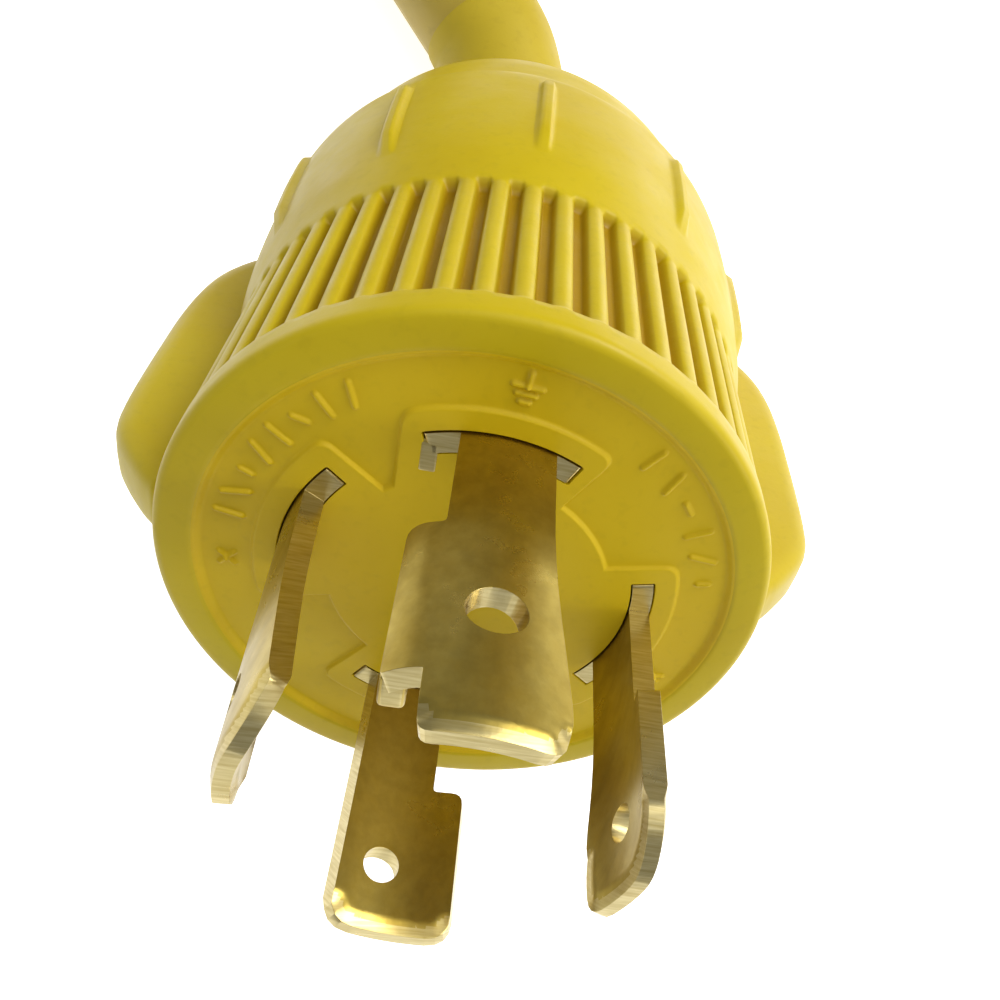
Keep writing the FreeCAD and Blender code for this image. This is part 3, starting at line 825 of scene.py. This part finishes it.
ROOT = 0.25
GROUND = [(80, 23.9), (80, 20), (65.2, 20), (65.2, ROOT, 0.3), (73, ROOT, 0), (73, -12.6, 6),
          (67, -26.2, 2.5), (68.2, -29.1, 1.6), (99.8, -29.1, 0.9), (100, -24.6, 0.1),
          (109.4, -24.6, 0.3), (109.6, -10.8, 3.2),
          (100, -10.8, 0.5), (100, ROOT, 0), (110, ROOT, 0.3), (110, 20), (96, 20), (96, 23.9)]
NEUTRAL = [(-105.5, 23.9), (-105.5, 20), (-123.5, 20), (-123.5, ROOT, 0.3), (-117.5, ROOT, 0),
           (-117.5, -25.5, 2.4), (-79.5, -25.5, 2.0), (-79.5, -11.4, 1.2), (-90, -11.4, 0.4),
           (-90, ROOT, 0), (-71.5, ROOT, 0.3), (-71.5, 20), (-89.5, 20), (-89.5, 23.9)]


FOOT = [(25.9, 20), (8, 20), (8, 23.9), (-8, 23.9), (-8, 20), (-25.9, 20), (-25.9, ROOT, 0.3)]


def line_blade(middle, outline):
    """Outline about the slot's middle, with the foot that both line blades share."""
    return [(middle + q[0],) + q[1:] for q in FOOT + outline]


X_LINE = [(-15.8, ROOT, 0), (-16.6, -9, 6), (-24.4, -21.3, 0.7), (-19.5, -23.3, 2.0),
          (-11, -24.7, 2.0), (19.8, -24.7, 2.0), (20.2, -10.8, 1.4), (14.2, -10.8, 0.4),
          (14.2, ROOT, 0), (25.9, ROOT, 0.3)]
Y_LINE = [(-15.8, ROOT, 0), (-15.8, -12, 5), (-21.6, -22.4, 2.0), (-20.6, -25.9, 2.4),
          (6.0, -25.9, 3.0), (16.0, -24.1, 2.0), (21.4, -22.3, 0.6), (21.2, -10.8, 0.5),
          (14.2, -10.8, 0.3), (14.2, ROOT, 0), (25.9, ROOT, 0.3)]
leg = [((-5.45, -24.5, 12.1), (-3.65, -11.4, 15.0)), ((-6.05, ROOT, 12.1), (-4.25, 19, 15.35))]
ground = blade("ground_blade", GROUND, 88.0, (86.0, -19.0, 4.1), -29.1, extra=leg)
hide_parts("blade_ground")
bx = blade("line_blade_x", line_blade(166.6, X_LINE), 166.6, (165.2, -18.8, 3.3), -24.7, 3.6,
           0.035)
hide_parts("blade_x")
by = blade("line_blade_y", line_blade(-11.6, Y_LINE), -11.6, (-13.0, -20.1, 3.3), -25.9, 5.2)
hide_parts("blade_y")
bw = blade("neutral_blade", NEUTRAL, -97.5, (-103.8, -19.7, 3.3), -25.5)
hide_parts("blade_w")

# ---------------------------------------------------------------- strain relief
root = SEAT @ Vector((0, 0.070, 0)) * 1000
STATIONS = [(root.x, root.y - 1.2, root.z + 1.2, 13.6), (root.x, root.y + 0.6, root.z - 0.6, 13.3),
            (0.9, 22.8, 15.2, 13.7), (1.0, 28.2, 13.8, 13.1), (0.8, 30.6, 13.1, 12.3),
            (-1.0, 32.4, 12.2, 11.0), (-1.9, 34.2, 11.4, 10.6), (-2.8, 37.6, 10.7, 10.2),
            (-3.9, 42.8, 10.0, 9.8), (-5.4, 48.3, 9.7, 9.5), (-7.0, 52.2, 9.5, 9.4),
            (-9.4, 55.57, 9.37, 9.3)]


def relief():
    dense = curve_through(STATIONS, 6)
    rows = []
    for i, s in enumerate(dense):
        p = Vector(s[:3])
        q = Vector(dense[min(len(dense) - 1, i + 1)][:3]) - Vector(dense[max(0, i - 1)][:3])
        q.normalize()
        side = q.cross(Vector((0, 0, 1))).normalized()
        up = side.cross(q).normalized()
        rows.append([p + side * (s[3] * cos(2 * pi * k / 64)) + up * (s[3] * sin(2 * pi * k / 64))
                     for k in range(64)])
    rows.append([Vector(dense[-1][:3]) + (v - Vector(dense[-1][:3])) * 0.9 for v in rows[-1]])
    verts, faces = loft(rows)
    return build("strain_relief_neck", verts, faces, FLOOR, NECK, 50)


neck = relief()
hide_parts("strain_relief")

# ---------------------------------------------------------------- connector on the far end
CON = [(0.9, 24.0, 0), (0.3, 24.1, 0), (0.04, 24.4, 0), (0, 25, 0), (0, 27.4, 0), (0.15, 27.9, 0),
       (0.5, 28.25, 0), (1.0, 28.4, 0), (4.0, 28.4, 0), (4.3, 28.4, 0.2), (4.6, 28.4, 0.85),
       (5.0, 28.4, 1)]
CON += [(y, 28.4, 1) for y in range(7, 34, 2)]
CON += [(34.6, 28.4, 1), (35.0, 28.4, 0.85), (35.3, 28.4, 0.2), (35.6, 28.4, 0), (38, 28.4, 0),
        (44, 28.35, 0), (48.5, 28.2, 0), (49.6, 27.9, 0), (50.4, 27.3, 0), (51.4, 26.3, 0),
        (53, 25.6, 0), (56, 24.5, 0), (60, 23.0, 0), (64, 21.2, 0), (65.4, 20.3, 0),
        (65.9, 19.4, 0), (66, 18.0, 0), (66, 12, 0)]


def connector_shell():
    rows = []
    painted_shade = []
    for y, r, w in CON:
        row = []
        for k in range(RIBS):
            for f in OFFSETS:
                deep = rib_depth(f) * w
                a = radians((k + f) * PITCH)
                rr = r - 1.0 * deep
                row.append(Vector((rr * cos(a), y, rr * sin(a))))
                # painted shade in the rib grooves
                painted_shade.append(0.75 * deep)
        rows.append(row)
    verts, faces = loft(rows)
    return build("connector_body", verts, faces, CONNECTOR, YELLOW, 60, {"painted_shade": painted_shade})


con = connector_shell()
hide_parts("connector_shell")


def mirrored_gap(p):
    return slot_gap(Vector((-p.x, p.y)), tail=True)


def connector_face():
    radii = [0.0, 3, 6, 9, 10.2, 11.2, 12.2, 13.2]
    r = 13.2
    while r < 18.4:
        r += 0.16
        radii.append(r)
    radii += [19, 20, 21.5, 23, 24.0]
    n = 720
    rows = []
    painted_shade = []
    for r in radii:
        row = []
        for i in range(n):
            a = 2 * pi * i / n
            p = Vector((r * cos(a), r * sin(a)))
            h = 0.6 - 0.35 * soft((r - 22.6) / 0.8) * 0 - 0.3 * soft((12.4 - r) / 0.8)
            d = mirrored_gap(p)
            gap = soft((0.55 - d) / 0.16) if d < 0.6 else 0.0
            row.append(Vector((p.x, h + 14.0 * gap, p.y)))
            # painted shade down the contact slots
            painted_shade.append(gap)
        rows.append(row)
    rows.append([Vector((24.0 * cos(2 * pi * i / n), 20, 24.0 * sin(2 * pi * i / n)))
                 for i in range(n)])
    painted_shade += [0.0] * n
    verts, faces = loft(rows)
    return build("connector_front", verts, faces, CONNECTOR, FACE, 50, {"painted_shade": painted_shade})


con_face = connector_face()
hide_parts("connector_face")


def connector_neck():
    rows = []
    for k in range(49):
        y = 64.5 + 37.3 * k / 48
        t = (y - 66) / 36
        r = 13.3 - 3.9 * soft(t * 0.9 + 0.05)
        groove = 0.0
        if 0.12 < t < 0.92:
            groove = 0.8 * soft(abs(sin(pi * (t - 0.12) / 0.16)) * 2.2 - 1.0)
        row = []
        for i in range(72):
            a = 2 * pi * i / 72
            g = groove * soft((abs(sin(a * 2)) - 0.25) / 0.15)
            row.append(Vector(((r - g) * cos(a), y, (r - g) * sin(a))))
        rows.append(row)
    verts, faces = loft(rows, cap_end=True)
    return build("connector_relief", verts, faces, CONNECTOR, NECK, 50)


con_neck = connector_neck()
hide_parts("connector_strain_relief")

# ---------------------------------------------------------------- inner pieces
for name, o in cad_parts.items():
    if isinstance(o, str):
        o = bpy.data.objects[o]
    finish = None
    if "strands" in name:
        finish = COPPER
    elif name.startswith(("crimp_", "contact_")) or name == "connector_crimps":
        finish = BRASS
    elif name in ("rear_insulator", "inner_mould", "connector_mould"):
        finish = INNER
    elif name in ("jacket_end", "connector_jacket_end"):
        finish = JACKET
    elif name == "filler_cords":
        finish = FIBRE
    elif name.startswith(("conductor_", "connector_wire_")):
        finish = PLASTIC[name.split("_")[-1]]
    if finish:
        o.data.materials.clear()
        o.data.materials.append(finish)

# ---------------------------------------------------------------- floor and light
ground_mesh = bpy.data.meshes.new("floor")
ground_mesh.from_pydata([(-9, -9, 0), (9, -9, 0), (9, 9, 0), (-9, 9, 0)], [], [(0, 1, 2, 3)])
floor = bpy.data.objects.new("floor", ground_mesh)
floor.location = (0, 0, -0.0004)
bpy.context.scene.collection.objects.link(floor)
m, t, s = material("floor_white")
s.inputs["Base Color"].default_value = (0.86, 0.86, 0.86, 1)
s.inputs["Roughness"].default_value = 0.8
s.inputs["Emission Color"].default_value = (1, 1, 1, 1)
s.inputs["Emission Strength"].default_value = 0.80
ground_mesh.materials.append(m)

world = bpy.data.worlds.new("studio")
bpy.context.scene.world = world
world.use_nodes = True
world.node_tree.nodes["Background"].inputs[0].default_value = (0.95, 0.97, 1.0, 1)
world.node_tree.nodes["Background"].inputs[1].default_value = 0.33
bpy.context.scene.view_settings.view_transform = "Standard"


def area(name, at, aim, size, power, colour=(1, 1, 1)):
    light = bpy.data.lights.new(name, "AREA")
    light.shape = "RECTANGLE"
    light.size = size[0]
    light.size_y = size[1]
    light.energy = power
    light.color = colour
    o = bpy.data.objects.new(name, light)
    o.location = at
    o.rotation_mode = "QUATERNION"
    o.rotation_quaternion = (Vector(aim) - Vector(at)).to_track_quat("-Z", "Y")
    bpy.context.scene.collection.objects.link(o)


area("window", (0.50, 0.45, 0.60), (0, 0, 0.05), (0.45, 0.45), 5.6)
area("fill", (-0.8, -0.5, 0.6), (0, 0, 0.05), (0.5, 0.5), 0.4)
area("right", (0.60, -0.25, 0.40), (0, 0, 0.06), (0.3, 0.3), 1.3)
area("top", (0.1, 0.3, 1.2), (0, 0, 0), (0.8, 0.8), 3.2)
